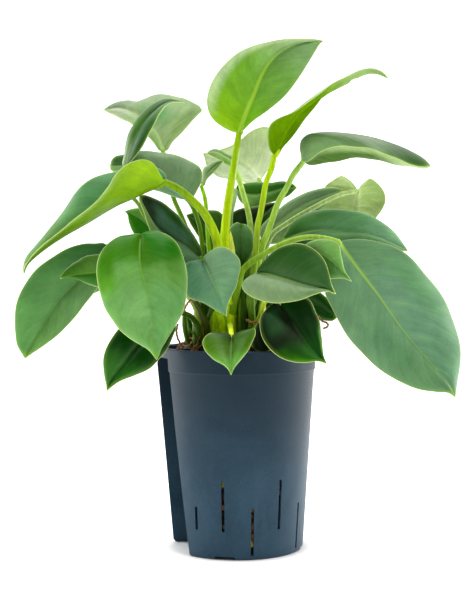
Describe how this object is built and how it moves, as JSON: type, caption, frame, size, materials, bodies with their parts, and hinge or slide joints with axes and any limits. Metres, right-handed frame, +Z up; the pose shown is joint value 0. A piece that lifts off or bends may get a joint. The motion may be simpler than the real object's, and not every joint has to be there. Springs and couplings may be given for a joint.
{
  "type": "potted philodendron",
  "caption": "Bushy self-heading philodendron with broad glossy heart-shaped leaves, growing in a round slate-blue hydroculture pot with a gauge channel and drain slots.",
  "frame": {"origin": "centre of the pot's foot, on the surface it stands on", "axes": "+Z up along the pot's axis, the front of the plant towards -Y, +X to the right seen from the front"},
  "size_m": [0.4226, 0.2141, 0.4864],
  "materials": {
    "pot": "satin",
    "substrate": "rough",
    "stem": "satin",
    "root": "rough",
    "leaf": "glossy",
    "lime_leaf": "glossy"
  },
  "bodies": {
    "root": {"pot": "pot", "substrate": "substrate", "stem_main": "stem", "stem_right": "stem", "stem_left": "stem", "root_left_high": "root", "root_left_low": "root", "root_left_branch": "root", "root_right_ring": "root", "root_far_right": "root", "new_leaf": "lime_leaf", "leaf_top": "lime_leaf", "leaf_upper_right": "lime_leaf", "leaf_right_upper": "leaf", "leaf_left_lime": "lime_leaf", "leaf_left_blue": "leaf", "leaf_left_narrow": "leaf", "leaf_left_upper": "leaf", "leaf_left_dark": "leaf", "leaf_center_heart": "leaf", "leaf_center_small": "leaf", "leaf_rim_front": "leaf", "leaf_center_right": "leaf", "leaf_front_dark": "leaf", "leaf_big_right": "leaf", "leaf_right_mid": "leaf", "leaf_right_small": "leaf", "leaf_right_pale": "lime_leaf", "leaf_back_right_dark": "leaf", "leaf_back_pale": "lime_leaf", "leaf_back_curled": "leaf", "leaf_back_small": "leaf", "leaf_back_dark": "leaf", "leaf_deep_dark": "leaf", "leaf_between_stalks": "leaf", "leaf_left_small": "leaf", "leaf_big_left": "leaf", "leaf_left_folded": "leaf", "leaf_big_front": "leaf", "leaf_bottom_left": "leaf", "leaf_low_right": "leaf", "leaf_low_front": "leaf", "leaf_rear_right": "leaf", "leaf_rear_left": "leaf", "leaf_rear_left_upper": "leaf", "leaf_rear_top": "leaf", "leaf_rear_right_upper": "leaf", "leaf_rear_hanging_right": "leaf", "leaf_rear_hanging_left": "leaf"}
  },
  "joints": []
}
